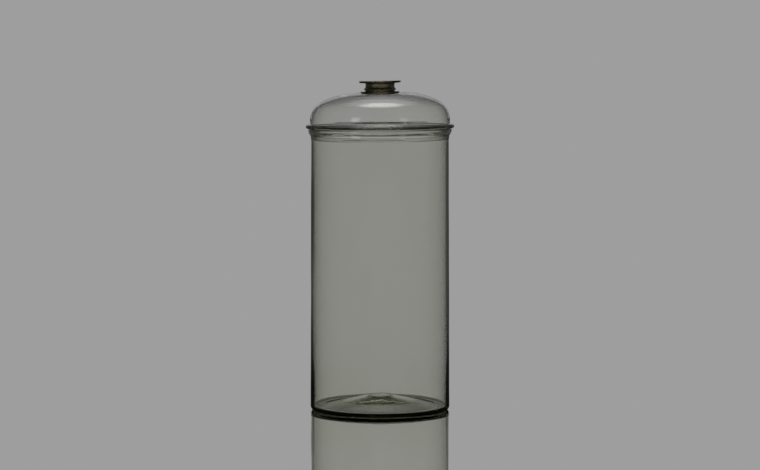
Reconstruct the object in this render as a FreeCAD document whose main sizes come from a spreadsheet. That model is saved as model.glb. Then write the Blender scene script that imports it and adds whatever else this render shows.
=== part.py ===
import FreeCAD, Part
import math
import os
import Sketcher

# Specimen jar: a tall blown glass jar with a pushed-up base and a flared lip, and a loose domed
# glass lid with a solid glass knob.
#
# Frame: millimetres, +Z up. The origin is on the jar's axis, in the plane that the jar stands on.
# Every piece is a solid of revolution about Z. Each half section is drawn on the XZ plane of its
# own body, with X as the radius. The lid's section has its zero at the lower end of the collar,
# and the knob's at the underside of its foot, and each is lifted into place by its Placement.

SIZES = (
    # jar: outside
    ("jar_height", 254.0, "top of the lip, where the lid's flange rests"),
    ("heel_radius", 62.72, "widest part of the wall, just above the heel"),
    ("heel_height", 4.2, "height of the rounded heel"),
    ("heel_arc_radius", 5.22, "rounding between the wall and the resting ring"),
    ("shoulder_radius", 61.8, "outside of the wall, just under the lip"),
    ("shoulder_height", 243.0, "where the wall ends and the lip starts to flare"),
    ("flare_radius", 62.5, "outside of the lip where the flare gets steeper"),
    ("flare_height", 247.8, "height of that place"),
    ("lip_radius", 64.45, "widest part of the lip"),
    ("lip_widest_height", 251.5, "height of the widest part of the lip"),
    ("lip_top_radius", 64.15, "outside of the lip at its top"),
    ("lip_crown_radius", 15.0, "gentle outward curve of the lip above its widest part"),
    ("lip_edge_fillet", 0.7, "fire-polished edges of the lip"),
    # jar: inside
    ("mouth_top_radius", 61.6, "mouth at the top of the lip"),
    ("mouth_base_radius", 59.85, "mouth at the lower end of the lid's collar"),
    ("mouth_depth", 10.0, "depth of the tapered part of the mouth"),
    ("wall_thickness_top", 2.0, "glass below the lip"),
    ("wall_thickness_low", 2.2, "glass in the lower part of the wall"),
    ("wall_low_height", 45.0, "where the wall starts to get thicker towards the base"),
    ("wall_thickness_base", 2.8, "glass above the base"),
    ("floor_corner_height", 6.1, "where the inside of the wall starts to round into the floor"),
    ("floor_corner_arc_radius", 3.2, "rounding between the inside of the wall and the floor"),
    ("floor_radius", 56.72, "outer edge of the floor"),
    ("floor_height", 2.9, "floor at its outer edge"),
    ("kick_radius", 52.0, "outer edge of the pushed-up cone, inside"),
    ("kick_start_height", 3.0, "height of that edge"),
    ("kick_top_radius", 11.0, "rounded tip of the pushed-up cone, inside"),
    ("kick_top_start_height", 12.6, "where the cone turns into its rounded tip"),
    ("kick_height", 13.1, "tip of the pushed-up cone, inside"),
    # jar: underside
    ("rest_outer_radius", 60.6, "outside of the ring that the jar stands on"),
    ("rest_inner_radius", 57.0, "inside of that ring"),
    ("hollow_edge_radius", 50.0, "where the rounding of the ring meets the cone underneath"),
    ("hollow_edge_height", 1.35, "height of that edge"),
    ("hollow_arc_radius", 20.0, "rounding from the ring to the cone underneath"),
    ("pontil_radius", 8.5, "ground flat where the pontil was broken off"),
    ("pontil_height", 10.5, "height of that flat"),
    # lid: heights of the flange and the dome are above its underside, where it rests on the lip
    ("lid_wall_thickness", 2.0, "glass of the dome"),
    ("flange_radius", 66.85, "flange that rests on the lip"),
    ("flange_thickness", 3.8, "thickness of the flange"),
    ("flange_edge_fillet", 1.8, "round bead at the edge of the flange"),
    ("flange_corner_fillet", 0.7, "corner between the flange and the dome"),
    ("collar_top_radius", 61.25, "outside of the collar under the flange"),
    ("collar_base_radius", 59.5, "outside of the collar at its lower end"),
    ("collar_depth", 10.0, "how far the collar goes down into the mouth"),
    ("collar_inner_top_radius", 59.2, "inside of the collar at the flange"),
    ("collar_inner_base_radius", 57.5, "inside of the collar at its lower end"),
    ("collar_edge_fillet", 0.9, "rounded lower edge of the collar"),
    ("dome_radius", 62.96, "widest part of the dome"),
    ("dome_widest_height", 7.3, "height of the widest part of the dome"),
    ("dome_side_arc_radius", 18.0, "curve of the side of the dome"),
    ("dome_side_angle", 52.2, "degrees up the side curve to the shoulder curve"),
    ("dome_shoulder_arc_radius", 39.6, "curve of the shoulder of the dome"),
    ("dome_shoulder_angle", 72.5, "degrees up to where the shoulder meets the slope"),
    ("dome_slope_arc_radius", 113.7, "shallow curve of the slope above the shoulder"),
    ("dome_slope_angle", 79.2, "degrees up to where the slope meets the rounding"),
    ("dome_crown_arc_radius", 34.9, "rounding between the slope and the flat crown"),
    ("dome_crown_angle", 90.0, "degrees up to the flat crown"),
    # knob: heights are above the underside of its foot
    ("foot_radius", 16.6, "foot, where it is welded to the flat crown"),
    ("foot_rim_radius", 17.7, "rim of the foot"),
    ("foot_rim_height", 1.1, "height of that rim"),
    ("foot_rim_fillet", 0.25, "edge of the rim"),
    ("groove_radius", 13.3, "groove between the foot and the ridge"),
    ("groove_base_height", 1.7, "lower edge of the groove"),
    ("groove_top_height", 2.2, "upper edge of the groove"),
    ("ridge_radius", 15.0, "edge of the ridge, which slopes like a skirt"),
    ("ridge_height", 2.9, "height of that edge"),
    ("ridge_fillet", 0.3, "edge of the ridge"),
    ("neck_radius", 13.15, "neck between the ridge and the disc"),
    ("neck_base_height", 5.4, "top of the sloping ridge"),
    ("neck_top_height", 8.6, "where the neck spreads into the disc"),
    ("neck_fillet", 0.9, "hollow corners of the neck"),
    ("disc_radius", 18.9, "thin disc on top"),
    ("disc_base_height", 9.5, "underside of the disc at its edge"),
    ("disc_edge_height", 11.35, "top of the disc at its edge"),
    ("disc_edge_fillet", 0.6, "edge of the disc"),
    ("disc_crown_arc_radius", 700.0, "very slight crown on top of the disc"),
)

# the dome's arcs, from its side up to its crown
DOME_ARCS = ("side", "shoulder", "slope", "crown")

# where a point lies within this distance of a named circle, it is the same edge (mm)
SAME_EDGE = 0.02

doc = FreeCAD.newDocument("specimen_jar")


def size(name):
    """The expression that reads one driving dimension from the sheet."""
    return f"Sizes.{name}"


def make_sheet():
    """The driving dimensions: name, value with its alias, and what it is."""
    sheet = doc.addObject("Spreadsheet::Sheet", "Sizes")
    for row, (name, value, note) in enumerate(SIZES, 1):
        sheet.set(f"A{row}", name)
        sheet.set(f"B{row}", str(value))
        sheet.setAlias(f"B{row}", name)
        sheet.set(f"C{row}", note)
    doc.recompute()
    return sheet


def origin_plane(body, role):
    """One of the body's own origin planes."""
    return next(f for f in body.Origin.OriginFeatures if f.Role == role)


def straight(label, across, up):
    """A straight edge that ends in the corner called label."""
    return {"label": label, "across": across, "up": up, "turn": 0}


def curved(label, across, up, radius, turn):
    """An arc that ends in the corner called label. turn is 1 where the outline bends to the left
    on its way round, and -1 where it bends to the right."""
    return {"label": label, "across": across, "up": up, "radius": radius, "turn": turn}


def arc_geometry(start, end, radius, turn):
    """The shorter arc between two points, as the sketch's counterclockwise arc."""
    chord = end - start
    middle = start + chord * 0.5
    left = FreeCAD.Vector(-chord.y, chord.x, 0).normalize()
    reach = math.sqrt(radius**2 - (chord.Length / 2) ** 2)
    centre = middle + left * (turn * reach)
    first, last = (start, end) if turn > 0 else (end, start)
    angles = [math.atan2(p.y - centre.y, p.x - centre.x) for p in (first, last)]
    if angles[1] < angles[0]:
        angles[1] += 2 * math.pi
    circle = Part.Circle(centre, FreeCAD.Vector(0, 0, 1), radius)
    return Part.ArcOfCircle(circle, *angles)


def bind(sketch, constraint, name, expression):
    """Adds a named constraint whose value is an expression of the sheet."""
    index = sketch.addConstraint(constraint)
    sketch.renameConstraint(index, name)
    sketch.setExpression(f"Constraints.{name}", expression)


def place_corner(sketch, edge, position, corner, point):
    """Fixes an edge's end at its corner: on an axis, or at a distance bound to the sheet."""
    root, horizontal_axis, vertical_axis = -1, -1, -2
    label = corner["label"]
    if corner["across"] == "0":
        on_axis = Sketcher.Constraint("PointOnObject", edge, position, vertical_axis)
        sketch.addConstraint(on_axis)
    else:
        across = Sketcher.Constraint("DistanceX", root, 1, edge, position, point.x)
        bind(sketch, across, f"{label}_across", corner["across"])
    if corner["up"] == "0":
        on_axis = Sketcher.Constraint("PointOnObject", edge, position, horizontal_axis)
        sketch.addConstraint(on_axis)
    else:
        up = Sketcher.Constraint("DistanceY", root, 1, edge, position, point.y)
        bind(sketch, up, f"{label}_up", corner["up"])


def half_section(body, name, corners):
    """A closed sketch on the body's XZ plane. Each corner also says what edge leads to it."""
    sketch = body.newObject("Sketcher::SketchObject", name)
    sketch.AttachmentSupport = (origin_plane(body, "XZ_Plane"), [""])
    sketch.MapMode = "FlatFace"
    points = [
        FreeCAD.Vector(
            float(sketch.evalExpression(c["across"])), float(sketch.evalExpression(c["up"])), 0
        )
        for c in corners
    ]
    ends = []
    for corner, start, end in zip(corners, points[-1:] + points[:-1], points):
        if corner["turn"] == 0:
            edge = sketch.addGeometry(Part.LineSegment(start, end))
            ends.append((edge, 1, 2))
        else:
            radius = float(sketch.evalExpression(corner["radius"]))
            edge = sketch.addGeometry(arc_geometry(start, end, radius, corner["turn"]))
            ends.append((edge, 1, 2) if corner["turn"] > 0 else (edge, 2, 1))
    for (edge, _, last), (follower, first, _) in zip(ends, ends[1:] + ends[:1]):
        joined = Sketcher.Constraint("Coincident", edge, last, follower, first)
        sketch.addConstraint(joined)
    for corner, (edge, _, last), point in zip(corners, ends, points):
        place_corner(sketch, edge, last, corner, point)
        if corner["turn"] != 0:
            radius = float(sketch.evalExpression(corner["radius"]))
            arc_size = Sketcher.Constraint("Radius", edge, radius)
            bind(sketch, arc_size, f"{corner['label']}_arc", corner["radius"])
    doc.recompute()
    if sketch.solve() != 0 or not sketch.FullyConstrained:
        raise RuntimeError(f"sketch {name} isn't fully constrained")
    return sketch


def revolve(body, kind, name, corners):
    """A Revolution or a Groove of a half section, all the way round Z."""
    sketch = half_section(body, f"{name}_section", corners)
    before = body.Shape.Volume if kind == "Groove" else 0.0
    feature = body.newObject(f"PartDesign::{kind}", name)
    feature.Profile = sketch
    feature.ReferenceAxis = (sketch, ["V_Axis"])
    feature.Angle = 360
    sketch.Visibility = False
    doc.recompute()
    if kind == "Groove" and not feature.Shape.Volume < before:
        raise RuntimeError(f"{name} removed nothing")
    return feature


def circles_at(shape, radius, height):
    """Names of the shape's circular edges of this radius at this height."""
    found = []
    for number, edge in enumerate(shape.Edges, 1):
        if edge.Degenerated or not isinstance(edge.Curve, Part.Circle):
            continue
        same_radius = abs(edge.Curve.Radius - radius) < SAME_EDGE
        same_height = abs(edge.Curve.Center.z - height) < SAME_EDGE
        if same_radius and same_height:
            found.append(f"Edge{number}")
    return found


def fillet(body, name, radius, places):
    """Rounds the circular edges at the given (radius, height) places. The body is still at its
    own zero, so the heights are those of its sketches."""
    base = body.Tip
    edges = []
    for across, up in places:
        found = circles_at(
            base.Shape, float(base.evalExpression(across)), float(base.evalExpression(up))
        )
        if len(found) != 1:
            raise RuntimeError(f"{name}: {len(found)} edges at {across}, {up}")
        edges += found
    feature = body.newObject("PartDesign::Fillet", name)
    feature.Base = (base, edges)
    feature.setExpression("Radius", radius)
    doc.recompute()
    return feature


def make_jar_body():
    """The jar: a wall between a rounded heel and a flared lip, hollow, with a pushed-up base."""
    body = doc.addObject("PartDesign::Body", "jar_body")
    top = size("jar_height")
    outside = (
        straight("axis_base", "0", "0"),
        straight("rest_outer", size("rest_outer_radius"), "0"),
        curved("heel", size("heel_radius"), size("heel_height"), size("heel_arc_radius"), 1),
        straight("shoulder", size("shoulder_radius"), size("shoulder_height")),
        straight("flare", size("flare_radius"), size("flare_height")),
        straight("lip_widest", size("lip_radius"), size("lip_widest_height")),
        curved("lip_top", size("lip_top_radius"), top, size("lip_crown_radius"), 1),
        straight("axis_top", "0", top),
    )
    mouth_base = f"{top} - {size('mouth_depth')}"
    wall_top = f"{size('shoulder_radius')} - {size('wall_thickness_top')}"
    wall_low = f"{size('heel_radius')} - {size('wall_thickness_low')}"
    wall_base = f"{size('heel_radius')} - {size('wall_thickness_base')}"
    inside = (
        straight("axis_floor", "0", size("kick_height")),
        straight("axis_mouth", "0", top),
        straight("mouth_top", size("mouth_top_radius"), top),
        straight("mouth_base", size("mouth_base_radius"), mouth_base),
        straight("wall_top", wall_top, size("shoulder_height")),
        straight("wall_low", wall_low, size("wall_low_height")),
        straight("wall_base", wall_base, size("floor_corner_height")),
        curved(
            "floor_edge",
            size("floor_radius"),
            size("floor_height"),
            size("floor_corner_arc_radius"),
            -1,
        ),
        straight("kick_edge", size("kick_radius"), size("kick_start_height")),
        straight("kick_shoulder", size("kick_top_radius"), size("kick_top_start_height")),
    )
    underneath = (
        straight("axis_below", "0", "0"),
        straight("axis_pontil", "0", size("pontil_height")),
        straight("pontil_edge", size("pontil_radius"), size("pontil_height")),
        straight("hollow_edge", size("hollow_edge_radius"), size("hollow_edge_height")),
        curved("rest_inner", size("rest_inner_radius"), "0", size("hollow_arc_radius"), -1),
    )
    revolve(body, "Revolution", "jar_outside", outside)
    revolve(body, "Groove", "jar_inside", inside)
    revolve(body, "Groove", "jar_underneath", underneath)
    lip_edges = ((size("lip_top_radius"), top), (size("mouth_top_radius"), top))
    fillet(body, "lip_polish", size("lip_edge_fillet"), lip_edges)
    return body


def dome_arcs(inset):
    """The dome's tangent arcs from its side up to its flat crown, for the outer face or for one
    inset from it: the corner where each arc ends and its radius, as expressions."""
    radius = size("dome_side_arc_radius")
    centre_across = f"{size('dome_radius')} - {radius}"
    centre_up = f"{size('collar_depth')} + {size('dome_widest_height')}"
    arcs = []
    for name, following in zip(DOME_ARCS, DOME_ARCS[1:] + (None,)):
        angle = size(f"dome_{name}_angle")
        arcs.append(
            curved(
                name,
                f"{centre_across} + ({radius} - {inset}) * cos({angle})",
                f"{centre_up} + ({radius} - {inset}) * sin({angle})",
                f"{radius} - {inset}",
                1,
            )
        )
        if following:
            wider = size(f"dome_{following}_arc_radius")
            centre_across += f" - ({wider} - {radius}) * cos({angle})"
            centre_up += f" - ({wider} - {radius}) * sin({angle})"
            radius = wider
    return arcs


def radius_of_side(inset):
    """The dome's radius where its side arc, carried on down, meets the top of the flange."""
    side = size("dome_side_arc_radius")
    drop = f"({size('dome_widest_height')} - {size('flange_thickness')})"
    return f"{size('dome_radius')} - {side} + sqrt(({side} - {inset})^2 - {drop}^2)"


def make_lid_dome():
    """The lid: a dome, a flange that rests on the lip and an open collar that goes below it."""
    body = doc.addObject("PartDesign::Body", "lid_dome")
    outer = dome_arcs("0")
    inner = dome_arcs(size("lid_wall_thickness"))
    depth = size("collar_depth")
    flange_top = f"{depth} + {size('flange_thickness')}"
    join = radius_of_side("0")
    inner_join = radius_of_side(size("lid_wall_thickness"))
    outside = (
        straight("axis_base", "0", "0"),
        straight("collar_base", size("collar_base_radius"), "0"),
        straight("collar_top", size("collar_top_radius"), depth),
        straight("flange_base", size("flange_radius"), depth),
        straight("flange_top", size("flange_radius"), flange_top),
        straight("dome_join", join, flange_top),
        *outer,
        straight("axis_top", "0", outer[-1]["up"]),
    )
    inside = (
        straight("axis_mouth", "0", "0"),
        straight("inner_base", size("collar_inner_base_radius"), "0"),
        straight("inner_top", size("collar_inner_top_radius"), depth),
        straight("inner_join", inner_join, flange_top),
        *inner,
        straight("axis_ceiling", "0", inner[-1]["up"]),
    )
    revolve(body, "Revolution", "lid_outside", outside)
    revolve(body, "Groove", "lid_inside", inside)
    bead = ((size("flange_radius"), depth), (size("flange_radius"), flange_top))
    collar = ((size("collar_base_radius"), "0"), (size("collar_inner_base_radius"), "0"))
    fillet(body, "flange_bead", size("flange_edge_fillet"), bead)
    fillet(body, "flange_corner", size("flange_corner_fillet"), ((join, flange_top),))
    fillet(body, "collar_edge", size("collar_edge_fillet"), collar)
    body.setExpression("Placement.Base.z", f"{size('jar_height')} - {depth}")
    return body


def make_lid_knob():
    """The knob: a foot, a groove, a sloping ridge, a neck and a thin disc, all solid."""
    body = doc.addObject("PartDesign::Body", "lid_knob")
    crown = size("disc_crown_arc_radius")
    rise = f"({crown} - sqrt({crown}^2 - {size('disc_radius')}^2))"
    section = (
        straight("axis_base", "0", "0"),
        straight("foot_base", size("foot_radius"), "0"),
        straight("foot_rim", size("foot_rim_radius"), size("foot_rim_height")),
        straight("groove_base", size("groove_radius"), size("groove_base_height")),
        straight("groove_top", size("groove_radius"), size("groove_top_height")),
        straight("ridge", size("ridge_radius"), size("ridge_height")),
        straight("neck_base", size("neck_radius"), size("neck_base_height")),
        straight("neck_top", size("neck_radius"), size("neck_top_height")),
        straight("disc_base", size("disc_radius"), size("disc_base_height")),
        straight("disc_edge", size("disc_radius"), size("disc_edge_height")),
        curved("disc_top", "0", f"{size('disc_edge_height')} + {rise}", crown, 1),
    )
    revolve(body, "Revolution", "knob_outside", section)
    rim = ((size("foot_rim_radius"), size("foot_rim_height")),)
    ridge = ((size("ridge_radius"), size("ridge_height")),)
    neck = (
        (size("neck_radius"), size("neck_base_height")),
        (size("neck_radius"), size("neck_top_height")),
    )
    disc = (
        (size("disc_radius"), size("disc_base_height")),
        (size("disc_radius"), size("disc_edge_height")),
    )
    fillet(body, "foot_rim_edge", size("foot_rim_fillet"), rim)
    fillet(body, "ridge_edge", size("ridge_fillet"), ridge)
    fillet(body, "neck_corners", size("neck_fillet"), neck)
    fillet(body, "disc_edge", size("disc_edge_fillet"), disc)
    seat = f"{size('jar_height')} - {size('collar_depth')}"
    body.setExpression("Placement.Base.z", f"{seat} + {dome_arcs('0')[-1]['up']}")
    return body


def check(bodies):
    """Stops before anything is written if an object failed or a piece isn't one valid solid."""
    for item in doc.Objects:
        if "Invalid" in item.State or "Error" in item.State:
            raise RuntimeError(f"{item.Name} failed: {item.State}")
    for body in bodies:
        shape = body.Shape
        if shape.isNull() or not shape.isValid() or len(shape.Solids) != 1:
            raise RuntimeError(f"{body.Label} isn't one valid solid")


def main():
    make_sheet()
    bodies = (make_jar_body(), make_lid_dome(), make_lid_knob())
    doc.recompute()
    check(bodies)
    os.makedirs("parts", exist_ok=True)
    for body in bodies:
        body.Shape.exportStep(f"parts/{body.Label}.step")
        box = body.Shape.optimalBoundingBox()
        print(
            f"{body.Label}: volume {body.Shape.Volume:.0f} mm3, radius {box.XMax:.2f}, "
            f"height {box.ZMin:.2f} to {box.ZMax:.2f}"
        )


main()
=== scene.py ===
import cmath
import math
import random

import bpy
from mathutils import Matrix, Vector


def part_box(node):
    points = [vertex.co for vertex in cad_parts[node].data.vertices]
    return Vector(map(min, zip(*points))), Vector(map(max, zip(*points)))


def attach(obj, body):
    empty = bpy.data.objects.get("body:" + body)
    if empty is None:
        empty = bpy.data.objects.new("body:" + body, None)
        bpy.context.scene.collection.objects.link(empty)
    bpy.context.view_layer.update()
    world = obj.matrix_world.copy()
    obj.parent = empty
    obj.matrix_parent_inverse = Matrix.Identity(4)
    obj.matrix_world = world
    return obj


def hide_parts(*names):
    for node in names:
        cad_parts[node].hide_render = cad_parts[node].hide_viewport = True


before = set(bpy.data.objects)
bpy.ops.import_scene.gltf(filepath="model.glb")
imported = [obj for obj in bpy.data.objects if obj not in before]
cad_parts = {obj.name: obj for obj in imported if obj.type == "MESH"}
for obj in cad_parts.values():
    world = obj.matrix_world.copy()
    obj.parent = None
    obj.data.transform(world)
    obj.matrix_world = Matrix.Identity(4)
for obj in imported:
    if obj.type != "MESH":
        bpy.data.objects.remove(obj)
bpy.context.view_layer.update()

# Looks of the specimen jar: blown glass in three pieces, the jar, its lid and the lid's knob. Each
# is turned from one outline with smooth corners and made slightly uneven, as hand-blown glass is.
# Metres, +Z up, the jar's front towards -Y.

MM = 0.001
SEGMENTS = 320
KNOB_SEGMENTS = 192

# places from the frame
_, jar_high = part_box("jar_body")
lid_low, lid_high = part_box("lid_dome")
_, knob_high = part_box("lid_knob")
LIP_TOP = jar_high.z
LIP_RADIUS = jar_high.x
COLLAR_END = lid_low.z
CROWN_TOP = lid_high.z
KNOB_TOP = knob_high.z
DISC_RADIUS = knob_high.x

# room for the lean and the waves of the blown glass, so that they stay inside the CAD box
FLANGE_RADIUS = lid_high.x - 0.1 * MM
DISC_DROP = 0.42 * MM

# gaps that keep the surfaces of separate glasses apart
SEAT_GAP = 0.12 * MM
FOOT_GAP = 0.02 * MM

# how far the middle of the crown sinks under the knob's foot, and the dome's shoulder rises
CROWN_SINK = 1.1 * MM
SHOULDER_RISE = 0.5 * MM

# the lid sits on a lip that rises a little towards +X, and the knob leans a little more
LID_LEAN = math.tan(math.radians(0.35))
CROWN_LEAN = math.tan(math.radians(0.8))
KNOB_LEAN = math.tan(math.radians(1.2))

GLASS_IOR = 1.51
# how fast a glass darkens with depth, per metre, where the colour it passes is black
TINT_DENSITY = 100.0
# the colours that the glasses pass, which set how much of the light their depth keeps
JAR_TINT = (0.665, 0.69, 0.48)
LID_TINT = (0.83, 0.83, 0.75)
KNOB_TINT = (0.36, 0.34, 0.145)

# brightness of the backdrop behind the jar, and of everything else round it
BACKDROP = 0.342
SURROUNDINGS = 0.07
# the share of the light that the floor mirrors, from a steep view of it (0) to a grazing one (1)
FLOOR_POLISH = ((0.0, 0.03), (0.5, 0.06), (0.66, 0.12), (0.76, 0.35), (0.835, 1.0))


def fade(value, start, full):
    """A smooth step from 0 at start to 1 at full."""
    share = min(1.0, max(0.0, (value - start) / (full - start)))
    return share * share * (3 - 2 * share)


def parts(place):
    """The distance from the axis and the height of a place in an outline."""
    return place.real, place.imag


def corner(across, up, rounding=0.0):
    """A corner of an outline: distance from the axis, height and rounding radius, in metres."""
    return complex(across, up), rounding


def rounded(corners, degrees=4.0):
    """Points along an outline, with each corner rounded by an arc of its own radius."""
    points = [corners[0][0]]
    for before, (at, radius), after in zip(corners, corners[1:], corners[2:]):
        arriving = (at - before[0]) / abs(at - before[0])
        leaving = (after[0] - at) / abs(after[0] - at)
        turn = cmath.phase(leaving / arriving)
        if radius == 0.0 or abs(turn) < 1e-6:
            points.append(at)
            continue
        reach = radius * math.tan(abs(turn) / 2)
        start = at - arriving * reach
        centre = start + arriving * complex(0, math.copysign(radius, turn))
        steps = max(2, math.ceil(math.degrees(abs(turn)) / degrees))
        for step in range(steps + 1):
            points.append(centre + (start - centre) * cmath.exp(1j * turn * step / steps))
    points.append(corners[-1][0])
    return points


def spaced(points, longest):
    """The same outline without repeated points and with its long straight runs divided."""
    out = [points[0]]
    for end in points[1:]:
        start = out[-1]
        if abs(end - start) < 1e-6:
            continue
        count = math.ceil(abs(end - start) / longest)
        out += [start + (end - start) * k / count for k in range(1, count + 1)]
    return out


def jar_outline():
    """The jar's glass in half section: from the middle of its underside round to its floor."""
    top = LIP_TOP
    lip = LIP_RADIUS
    heel = lip - 1.73 * MM
    neck = lip - 2.65 * MM
    underside = [
        corner(0, 11.3 * MM),
        corner(8.0 * MM, 10.97 * MM, 8 * MM),
        corner(32.0 * MM, 5.65 * MM, 60 * MM),
        corner(50.5 * MM, 0.7 * MM, 12 * MM),
    ]
    resting_ring = [corner(57.0 * MM, 0, 1.6 * MM), corner(60.3 * MM, 0, 1.0 * MM)]
    outer_wall = [corner(heel, 1.3 * MM, 3.6 * MM), corner(neck, top - 11 * MM, 12 * MM)]
    tooled_groove = [
        corner(neck + 0.65 * MM, top - 6.3 * MM, 2.5 * MM),
        corner(lip - 1.05 * MM, top - 5.0 * MM, 0.25 * MM),
        corner(lip - 1.15 * MM, top - 4.6 * MM, 0.2 * MM),
        corner(lip - 0.55 * MM, top - 4.2 * MM, 0.3 * MM),
    ]
    polished_lip = [
        corner(lip, top - 2.2 * MM, 1.6 * MM),
        corner(lip - 0.25 * MM, top, 0.85 * MM),
        corner(lip - 2.85 * MM, top, 0.85 * MM),
    ]
    inner_wall = [
        corner(neck - 1.98 * MM, top - 10.6 * MM, 6 * MM),
        corner(heel - 2.25 * MM, 45 * MM, 300 * MM),
        corner(heel - 2.8 * MM, 3.4 * MM, 1.5 * MM),
    ]
    pushed_up_floor = [
        corner(52.0 * MM, 3.0 * MM, 14 * MM),
        corner(11.0 * MM, 12.6 * MM, 16 * MM),
        corner(0, 13.1 * MM),
    ]
    outside = underside + resting_ring + outer_wall + tooled_groove + polished_lip
    return rounded(outside + inner_wall + pushed_up_floor)


# radius of the dome's curve, in mm, for the tilt of its surface in degrees: 0 at its upright side
# and 90 at its flat crown
DOME_CURVE = ((-10, 18), (42, 18), (60, 31.5), (74, 87), (84, 40), (90, 30))


def dome_radius(tilt):
    """The radius of the dome's curve where its surface has this tilt."""
    for (below, first), (above, second) in zip(DOME_CURVE, DOME_CURVE[1:]):
        if tilt <= above:
            return (first + (second - first) * fade(tilt, below, above)) * MM
    return DOME_CURVE[-1][1] * MM


def dome_curve(side_wall, crown_wall):
    """Corners of the dome's curve from its side up to its crown, sunk into the glass by a wall
    that changes from one thickness at the side to another at the crown."""
    side = 62.9 * MM
    side_height = 7.3 * MM
    place = complex(side, LIP_TOP + side_height)
    step = 1.5
    corners = []
    tilt = 0.0
    while tilt < 90.0:
        wall = side_wall + (crown_wall - side_wall) * fade(tilt, 10, 60)
        corners.append(corner(*parts(place - cmath.rect(wall, math.radians(tilt)))))
        middle = tilt + step / 2
        ahead = cmath.rect(1.0, math.radians(middle + 90))
        place += ahead * dome_radius(middle) * math.radians(step)
        tilt += step
    return corners


def flange_bead(rounding, seat):
    """Corners round the flange's bead, from its underside to where it meets the dome."""
    centre = complex(FLANGE_RADIUS - rounding, seat + rounding)
    turns = range(-138, 151, 12)
    return [corner(*parts(centre + cmath.rect(rounding, math.radians(turn)))) for turn in turns]


def lid_outline():
    """The lid's glass in half section: from the middle of the crown, down the inside, round the
    collar and the flange, and up the outside to the middle of the crown."""
    seat = LIP_TOP + SEAT_GAP
    bead = 3.9 * MM
    wall = 2.0 * MM
    crown_wall = 1.6 * MM
    inside = [corner(0, CROWN_TOP - crown_wall)] + dome_curve(wall, crown_wall)[::-1]
    collar = [
        corner(60.8 * MM, seat + 2.4 * MM, 0.5 * MM),
        corner(58.6 * MM, seat + 0.7 * MM, 0.5 * MM),
        corner(57.6 * MM, COLLAR_END, 0.93 * MM),
        corner(59.5 * MM, COLLAR_END, 0.93 * MM),
        corner(61.2 * MM, seat, 0.5 * MM),
        corner(62.6 * MM, seat, 0.3 * MM),
    ]
    flange = [corner(62.9 * MM, seat + 0.7 * MM, 0.2 * MM)]
    flange += flange_bead(bead / 2, seat)
    flange += [corner(62.75 * MM, seat + bead - 0.6 * MM, 0.25 * MM)]
    outside = dome_curve(0, 0) + [corner(0, CROWN_TOP)]
    return rounded(inside + collar + flange + outside)


def knob_outline():
    """The knob's glass in half section: from under its foot round to the middle of its disc."""
    crown = CROWN_TOP + FOOT_GAP
    top = KNOB_TOP - DISC_DROP
    foot = [
        corner(0, crown - CROWN_SINK),
        corner(16.4 * MM, crown - CROWN_SINK, 0.2 * MM),
        corner(17.75 * MM, crown + 1.0 * MM, 0.3 * MM),
        corner(17.6 * MM, crown + 1.4 * MM, 0.2 * MM),
    ]
    groove = [
        corner(13.4 * MM, crown + 1.95 * MM, 0.3 * MM),
        corner(13.4 * MM, crown + 2.35 * MM, 0.2 * MM),
    ]
    ridge = [corner(15.1 * MM, crown + 2.9 * MM, 0.35 * MM)]
    neck = [
        corner(13.15 * MM, crown + 5.4 * MM, 0.9 * MM),
        corner(13.15 * MM, crown + 8.6 * MM, 0.9 * MM),
    ]
    disc = [
        corner(DISC_RADIUS - 0.1 * MM, top - 2.05 * MM, 0.85 * MM),
        corner(DISC_RADIUS, top - 0.05 * MM, 0.85 * MM),
        corner(0, top),
    ]
    return rounded(foot + groove + ridge + neck + disc)


def waves(seed, count, around, shortest, longest):
    """A smooth random field over (angle, distance along the outline), between 0 and 1, as a sum
    of count waves. around holds the numbers of waves to choose from round the axis, and shortest
    and longest are the limits of their length along the outline."""
    draw = random.Random(seed)
    terms = []
    for _ in range(count):
        length = draw.uniform(shortest, longest)
        terms.append((draw.choice(around), 2 * math.pi / length, draw.uniform(0, 2 * math.pi)))

    def field(angle, along):
        total = sum(math.sin(n * angle + k * along + phase) for n, k, phase in terms)
        return 0.5 + 0.5 * total / count

    return field


def faces_between(rings, segments):
    """The faces that join rings of vertices. A ring of one vertex is a point on the axis."""
    faces = []
    for low, high in zip(rings, rings[1:]):
        for k in range(segments):
            following = (k + 1) % segments
            if len(low) == 1:
                faces.append((low[0], high[following], high[k]))
            elif len(high) == 1:
                faces.append((low[k], low[following], high[0]))
            else:
                faces.append((low[k], low[following], high[following], high[k]))
    return faces


def turned(name, outline, segments, hollow, lift):
    """A piece whose mesh is the outline turned about Z. hollow(angle, along, point) is how far
    each point sinks into the glass, and lift(x, point) how far it is raised."""
    ahead = outline[1:] + outline[-1:]
    behind = outline[:1] + outline[:-1]
    tangents = [(b - a) / abs(b - a) for a, b in zip(behind, ahead)]
    along = 0.0
    vertices, rings = [], []
    for before, point, tangent in zip(behind, outline, tangents):
        along += abs(point - before)
        if point.real < 1e-6:
            rings.append([len(vertices)])
            vertices.append((0.0, 0.0, point.imag))
            continue
        rings.append(list(range(len(vertices), len(vertices) + segments)))
        outwards = tangent * -1j
        for k in range(segments):
            angle = 2 * math.pi * k / segments
            moved = point - outwards * hollow(angle, along, point)
            x = moved.real * math.cos(angle)
            y = moved.real * math.sin(angle)
            vertices.append((x, y, moved.imag + lift(x, point)))
    faces = faces_between(rings, segments)
    mesh = bpy.data.meshes.new(name)
    mesh.from_pydata(vertices, [], faces)
    mesh.polygons.foreach_set("use_smooth", [True] * len(faces))
    mesh.update()
    piece = bpy.data.objects.new(name, mesh)
    bpy.context.scene.collection.objects.link(piece)
    return piece


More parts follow.
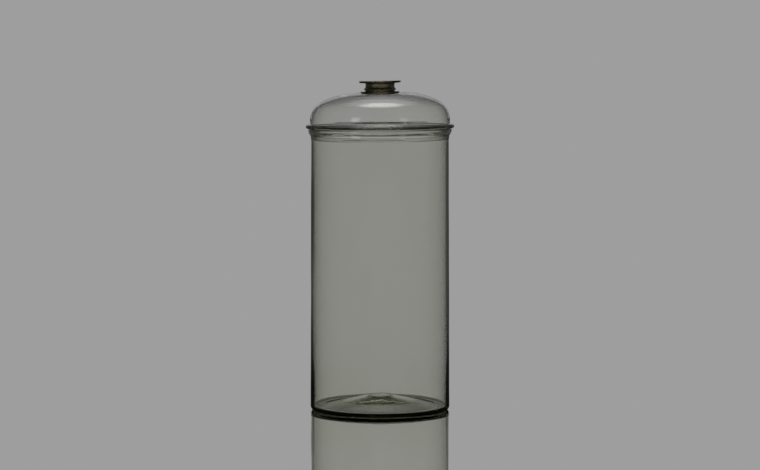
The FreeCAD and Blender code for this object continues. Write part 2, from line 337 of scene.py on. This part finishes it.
def ramp(tree, source, stops):
    """A colour ramp over a value. Each stop is a position and a grey level or a colour."""
    node = tree.nodes.new("ShaderNodeValToRGB")
    elements = node.color_ramp.elements
    while len(elements) < len(stops):
        elements.new(0.5)
    for element, (position, value) in zip(elements, stops):
        element.position = position
        rgb = value if isinstance(value, tuple) else (value, value, value)
        element.color = (*rgb, 1.0)
    tree.links.new(source, node.inputs["Fac"])
    return node.outputs["Color"]


def calculate(tree, operation, *values):
    """The output of a maths node over sockets or plain numbers."""
    node = tree.nodes.new("ShaderNodeMath")
    node.operation = operation
    for socket, value in zip(node.inputs, values):
        if isinstance(value, (int, float)):
            socket.default_value = value
        else:
            tree.links.new(value, socket)
    return node.outputs[0]


def product(tree, first, *others):
    """The product of several values."""
    for other in others:
        first = calculate(tree, "MULTIPLY", first, other)
    return first


def components(tree, vector):
    """The X, Y and Z of a vector."""
    split = tree.nodes.new("ShaderNodeSeparateXYZ")
    tree.links.new(vector, split.inputs[0])
    return split.outputs["X"], split.outputs["Y"], split.outputs["Z"]


def smooth_step(tree, value, start, full):
    """0 where a value is at start and 1 where it is at full, with a smooth change between."""
    node = tree.nodes.new("ShaderNodeMapRange")
    node.interpolation_type = "SMOOTHSTEP"
    tree.links.new(value, node.inputs["Value"])
    node.inputs["From Min"].default_value = start
    node.inputs["From Max"].default_value = full
    return node.outputs["Result"]


def scaled(tree, value, colour):
    """A colour made brighter or darker by a value."""
    node = tree.nodes.new("ShaderNodeVectorMath")
    node.operation = "SCALE"
    node.inputs[0].default_value = colour
    tree.links.new(value, node.inputs["Scale"])
    return node.outputs["Vector"]


def near_direction(tree, direction, toward, start, full):
    """1 where a direction is within full degrees of another, and 0 beyond start degrees."""
    dot = tree.nodes.new("ShaderNodeVectorMath")
    dot.operation = "DOT_PRODUCT"
    tree.links.new(direction, dot.inputs[0])
    length = math.sqrt(sum(part * part for part in toward))
    dot.inputs[1].default_value = [part / length for part in toward]
    limits = (math.cos(math.radians(start)), math.cos(math.radians(full)))
    return smooth_step(tree, dot.outputs["Value"], *limits)


def noise(tree, place, stretch, scale, detail):
    """Noise over the piece, stretched differently along X, Y and Z."""
    mapping = tree.nodes.new("ShaderNodeMapping")
    mapping.inputs["Scale"].default_value = stretch
    tree.links.new(place, mapping.inputs["Vector"])
    texture = tree.nodes.new("ShaderNodeTexNoise")
    texture.inputs["Scale"].default_value = scale
    texture.inputs["Detail"].default_value = detail
    tree.links.new(mapping.outputs["Vector"], texture.inputs["Vector"])
    return texture.outputs["Fac"]


def ground_areas(tree, place):
    """1 on the worn resting ring, a little on the ground pontil mark of the jar, 0 elsewhere."""
    x, y, z = components(tree, place)
    across = product(tree, x, x)
    across = calculate(tree, "MULTIPLY_ADD", y, y, across)
    across = calculate(tree, "SQRT", across)
    ring = smooth_step(tree, z, 0.5 * MM, 0.15 * MM)
    underside = smooth_step(tree, z, 11.9 * MM, 11.2 * MM)
    pontil = smooth_step(tree, across, 8.8 * MM, 8.0 * MM)
    pontil_frosting = 0.04
    pontil = product(tree, pontil, underside, pontil_frosting)
    return calculate(tree, "MAXIMUM", ring, pontil)


def glass_material(name, passed, ground=False):
    """Blown glass. Its tint comes from its depth: passed is the colour that sets how much of the
    light is kept. Its surface has faint cords, tiny seeds and smears, and where ground is true,
    frosted areas underneath."""
    material = bpy.data.materials.new(name)
    material.use_nodes = True
    tree = material.node_tree
    tree.nodes.clear()
    output = tree.nodes.new("ShaderNodeOutputMaterial")
    shader = tree.nodes.new("ShaderNodeBsdfPrincipled")
    tree.links.new(shader.outputs["BSDF"], output.inputs["Surface"])
    shader.inputs["IOR"].default_value = GLASS_IOR
    shader.inputs["Transmission Weight"].default_value = 1.0
    place = tree.nodes.new("ShaderNodeTexCoord").outputs["Object"]

    cloud = noise(tree, place, stretch=(1, 1, 0.35), scale=28.0, detail=3.0)
    clouded, clear = (0.975, 0.977, 0.962), (1.0, 1.0, 1.0)
    tint = ramp(tree, cloud, ((0.3, clouded), (0.6, clear)))
    tree.links.new(tint, shader.inputs["Base Color"])

    smear = noise(tree, place, stretch=(1, 1, 0.6), scale=45.0, detail=4.0)
    smeared, frosted = 0.05, 0.42
    roughness = product(tree, smooth_step(tree, smear, 0.58, 0.8), smeared)
    if ground:
        rough = product(tree, ground_areas(tree, place), frosted)
        roughness = calculate(tree, "MAXIMUM", roughness, rough)
    tree.links.new(roughness, shader.inputs["Roughness"])

    cords = noise(tree, place, stretch=(1, 1, 0.12), scale=130.0, detail=2.0)
    cells = tree.nodes.new("ShaderNodeTexVoronoi")
    cells.inputs["Scale"].default_value = 95.0
    tree.links.new(place, cells.inputs["Vector"])
    seeds = smooth_step(tree, cells.outputs["Distance"], 0.07, 0.0)
    seed_height = 0.8
    height = calculate(tree, "MULTIPLY_ADD", seeds, seed_height, cords)
    bump = tree.nodes.new("ShaderNodeBump")
    bump.inputs["Strength"].default_value = 1.0
    bump.inputs["Distance"].default_value = 0.03 * MM
    tree.links.new(height, bump.inputs["Height"])
    tree.links.new(bump.outputs["Normal"], shader.inputs["Normal"])

    absorption = tree.nodes.new("ShaderNodeVolumeAbsorption")
    absorption.inputs["Color"].default_value = (*passed, 1.0)
    absorption.inputs["Density"].default_value = TINT_DENSITY
    tree.links.new(absorption.outputs["Volume"], output.inputs["Volume"])
    return material


def add_piece(piece, body, node, material):
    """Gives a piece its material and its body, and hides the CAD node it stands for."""
    piece.data.materials.append(material)
    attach(piece, body)
    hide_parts(node)


def make_jar():
    """The jar, with uneven walls and a lip that rises a little towards +X."""
    slow = waves(11, 12, (0, 1, 1, 2, 2, 3, 4), 45 * MM, 240 * MM)
    drawn = waves(12, 14, (9, 13, 17, 22, 27, 31), 150 * MM, 500 * MM)
    uneven, streaked = 0.5, 0.03

    def hollow(angle, along, point):
        share = fade(point.imag, 1 * MM, 25 * MM) * fade(point.real, 5 * MM, 40 * MM)
        depth = uneven * slow(angle, along) + streaked * drawn(angle, along) - uneven / 2
        return share * MM * depth

    def lift(x, point):
        return x * LID_LEAN * fade(point.imag, LIP_TOP - 26 * MM, LIP_TOP - 4 * MM)

    outline = spaced(jar_outline(), 3 * MM)
    piece = turned("jar_glass", outline, SEGMENTS, hollow, lift)
    material = glass_material("jar_blown_glass", JAR_TINT, ground=True)
    add_piece(piece, "jar", "jar_body", material)


def make_lid():
    """The lid, with uneven walls, faint rings left by turning on the slope of the dome, a raised
    shoulder and a crown that sinks under the knob."""
    slow = waves(21, 12, (0, 1, 1, 2, 2, 3), 30 * MM, 120 * MM)
    rings = waves(22, 10, (0, 0, 0, 1), 3.5 * MM, 8 * MM)
    uneven, thicker, ringed = 0.35, 0.17, 0.04

    def hollow(angle, along, point):
        share = fade(point.real, 3 * MM, 30 * MM) * fade(point.real, FLANGE_RADIUS, 63 * MM)
        upper = fade(point.imag, LIP_TOP + 12 * MM, LIP_TOP + 22 * MM)
        depth = uneven * slow(angle, along) - thicker + ringed * upper * rings(angle, along)
        return share * MM * depth

    def lift(x, point):
        upper = fade(point.imag, LIP_TOP + 6 * MM, LIP_TOP + 26 * MM)
        lean = LID_LEAN + (CROWN_LEAN - LID_LEAN) * upper
        raised = SHOULDER_RISE * fade(point.real, 15 * MM, 35 * MM)
        sunk = CROWN_SINK * fade(point.real, 32 * MM, 17 * MM)
        return x * lean + (raised - sunk) * upper

    outline = spaced(lid_outline(), 1.2 * MM)
    piece = turned("lid_glass", outline, SEGMENTS, hollow, lift)
    material = glass_material("lid_blown_glass", LID_TINT)
    add_piece(piece, "lid", "lid_dome", material)


def make_knob():
    """The knob, a solid gather that leans a little more than the lid."""
    slow = waves(31, 8, (1, 1, 2, 3), 8 * MM, 30 * MM)
    uneven = 0.3

    def hollow(angle, along, point):
        share = fade(point.real, 2 * MM, 12 * MM) * fade(point.imag, CROWN_TOP, CROWN_TOP + 1 * MM)
        return share * uneven * MM * slow(angle, along)

    def lift(x, point):
        extra = KNOB_LEAN - CROWN_LEAN
        return x * (CROWN_LEAN + extra * fade(point.imag, CROWN_TOP, CROWN_TOP + 8 * MM))

    outline = spaced(knob_outline(), 1.5 * MM)
    piece = turned("knob_glass", outline, KNOB_SEGMENTS, hollow, lift)
    material = glass_material("knob_solid_glass", KNOB_TINT)
    add_piece(piece, "lid", "lid_knob", material)


def mixed(tree, share, first, second):
    """A mix of two shaders, with a share of the second."""
    node = tree.nodes.new("ShaderNodeMixShader")
    for socket, value in zip(node.inputs, (share, first, second)):
        tree.links.new(value, socket)
    return node.outputs[0]


def glowing(tree, strength):
    """The shader of a surface that gives off an even grey light."""
    node = tree.nodes.new("ShaderNodeEmission")
    tree.links.new(strength, node.inputs["Strength"])
    return node.outputs[0]


def floor_material():
    """A plain pale polished floor that glows instead of being lit. Its glow carries a painted
    shadow right under the jar and painted shade where it is seen through glass. What a glass
    surface mirrors of it is a painted dark reflection, darkest close to the jar, as in a studio
    where only the backdrop is lit."""
    material = bpy.data.materials.new("floor_polished")
    material.use_nodes = True
    tree = material.node_tree
    tree.nodes.clear()
    output = tree.nodes.new("ShaderNodeOutputMaterial")
    path = tree.nodes.new("ShaderNodeLightPath")
    place = tree.nodes.new("ShaderNodeNewGeometry").outputs["Position"]
    distance = tree.nodes.new("ShaderNodeVectorMath")
    distance.operation = "LENGTH"
    tree.links.new(place, distance.inputs[0])
    away = distance.outputs["Value"]

    # painted shadow: the floor's glow drops to 0.4 right under the jar, and painted shade dims it
    # to 0.6 wherever it is seen through glass
    painted_shadow_level, painted_glass_shade = 0.4, 0.6
    beyond_painted_shadow = smooth_step(tree, away, 0.035, 0.15)
    pale = (1 - painted_shadow_level) * BACKDROP
    shadowed_brightness = calculate(tree, "MULTIPLY_ADD", beyond_painted_shadow, pale, painted_shadow_level * BACKDROP)
    direct = calculate(tree, "LESS_THAN", path.outputs["Transmission Depth"], 0.5)
    glass_shade_factor = calculate(tree, "MULTIPLY_ADD", direct, 1 - painted_glass_shade, painted_glass_shade)
    matte = glowing(tree, product(tree, shadowed_brightness, glass_shade_factor))

    mirror = tree.nodes.new("ShaderNodeBsdfGlossy")
    mirror.inputs["Color"].default_value = (1, 1, 1, 1)
    mirror.inputs["Roughness"].default_value = 0.0
    facing = tree.nodes.new("ShaderNodeLayerWeight")
    facing.inputs["Blend"].default_value = 0.5
    share = ramp(tree, facing.outputs["Facing"], FLOOR_POLISH)
    polished = mixed(tree, share, matte, mirror.outputs[0])

    # painted dark reflection: what glass mirrors of the floor glows only dimly, dimmest close to
    # the jar
    nearest, farther = 0.006, 0.045
    painted_dark_reflection = calculate(tree, "MULTIPLY_ADD", smooth_step(tree, away, 0.1, 1.2), farther, nearest)
    mirrored = calculate(tree, "GREATER_THAN", path.outputs["Glossy Depth"], 0.5)
    surface = mixed(tree, mirrored, polished, glowing(tree, painted_dark_reflection))
    tree.links.new(surface, output.inputs["Surface"])
    return material


def make_floor():
    """The floor, far wider than the view, just under the ring that the jar stands on."""
    half = 60.0
    drop = -0.15 * MM
    mesh = bpy.data.meshes.new("floor")
    corners = [(-half, -half, drop), (half, -half, drop), (half, half, drop), (-half, half, drop)]
    mesh.from_pydata(corners, [], [(0, 1, 2, 3)])
    floor = bpy.data.objects.new("floor", mesh)
    bpy.context.scene.collection.objects.link(floor)
    mesh.materials.append(floor_material())


def backdrop(tree, x, y, z):
    """1 on the lit backdrop behind the jar, low and not very wide, and 0 elsewhere."""
    sideways = calculate(tree, "ABSOLUTE", x)
    narrow = smooth_step(tree, sideways, 0.5, 0.2)
    behind = smooth_step(tree, y, 0.0, 0.4)
    raised = calculate(tree, "MULTIPLY_ADD", sideways, 0.9, z)
    low = smooth_step(tree, raised, 0.58, 0.36)
    return product(tree, narrow, behind, low)


def backdrop_patch(tree, x, y, z):
    """1 on a small lighter patch in the middle of the backdrop, higher than the jar."""
    middle = smooth_step(tree, calculate(tree, "ABSOLUTE", x), 0.14, 0.05)
    behind = smooth_step(tree, y, 0.0, 0.4)
    rising = smooth_step(tree, z, 0.16, 0.19)
    falling = smooth_step(tree, z, 0.36, 0.26)
    return product(tree, middle, behind, rising, falling)


def tall_lamp(tree, x, y, z):
    """1 on a tall soft lamp in front on the left, which shows only as a first reflection."""
    lamp_x, lamp_y = -0.669, -0.743
    across = product(tree, x, -lamp_y)
    across = calculate(tree, "MULTIPLY_ADD", y, lamp_x, across)
    beside = smooth_step(tree, calculate(tree, "ABSOLUTE", across), 0.17, 0.07)
    front = smooth_step(tree, y, -0.3, -0.5)
    above_foot = smooth_step(tree, z, -0.12, 0.12)
    below_head = smooth_step(tree, z, 0.5, 0.3)
    path = tree.nodes.new("ShaderNodeLightPath")
    first = calculate(tree, "COMPARE", path.outputs["Glossy Depth"], 1.0, 0.5)
    return product(tree, beside, front, above_foot, below_head, first)


def make_world():
    """Studio light: a pale backdrop behind the jar, dim surroundings and a soft light overhead.
    A lighter patch high on the backdrop and a tall lamp in front show in the glass."""
    world = bpy.data.worlds.new("studio")
    bpy.context.scene.world = world
    world.use_nodes = True
    tree = world.node_tree
    tree.nodes.clear()
    output = tree.nodes.new("ShaderNodeOutputWorld")
    background = tree.nodes.new("ShaderNodeBackground")
    tree.links.new(background.outputs[0], output.inputs["Surface"])
    direction = tree.nodes.new("ShaderNodeTexCoord").outputs["Generated"]
    x, y, z = components(tree, direction)
    lit = backdrop(tree, x, y, z)
    level = calculate(tree, "MULTIPLY_ADD", lit, BACKDROP - SURROUNDINGS, SURROUNDINGS)
    overhead = near_direction(tree, direction, (0, 0.22, 0.97), 20, 4)
    glow = near_direction(tree, direction, (0, 0.42, 0.91), 28, 8)
    light = scaled(tree, level, (1.0, 1.0, 1.0))
    for value, colour in (
        (overhead, (2.3, 2.2, 2.1)),
        (glow, (0.57, 0.6, 0.65)),
        (backdrop_patch(tree, x, y, z), (0.1, 0.11, 0.13)),
        (tall_lamp(tree, x, y, z), (1.5, 1.5, 1.5)),
    ):
        total = tree.nodes.new("ShaderNodeVectorMath")
        tree.links.new(light, total.inputs[0])
        tree.links.new(scaled(tree, value, colour), total.inputs[1])
        light = total.outputs["Vector"]
    tree.links.new(light, background.inputs["Color"])


def make_camera():
    """A camera a little above the knob and looking slightly down, from in front."""
    distance = 2.561
    height = 0.3565
    aim_height = 0.1579
    data = bpy.data.cameras.new("camera")
    data.sensor_width = 36.0
    data.lens = 135.0
    data.clip_end = 200.0
    camera = bpy.data.objects.new("camera", data)
    bpy.context.scene.collection.objects.link(camera)
    camera.location = (0.0, -distance, height)
    below_level = math.atan2(height - aim_height, distance)
    camera.rotation_euler = (math.pi / 2 - below_level, 0.0, 0.0)
    bpy.context.scene.camera = camera


def make_render_settings():
    """Plain view colours, and enough bounces for the many faces of thick and thin glass."""
    scene = bpy.context.scene
    scene.view_settings.view_transform = "Standard"
    scene.cycles.max_bounces = 32
    scene.cycles.transmission_bounces = 32
    scene.cycles.glossy_bounces = 16


make_camera()
make_world()
make_floor()
make_jar()
make_lid()
make_knob()
make_render_settings()
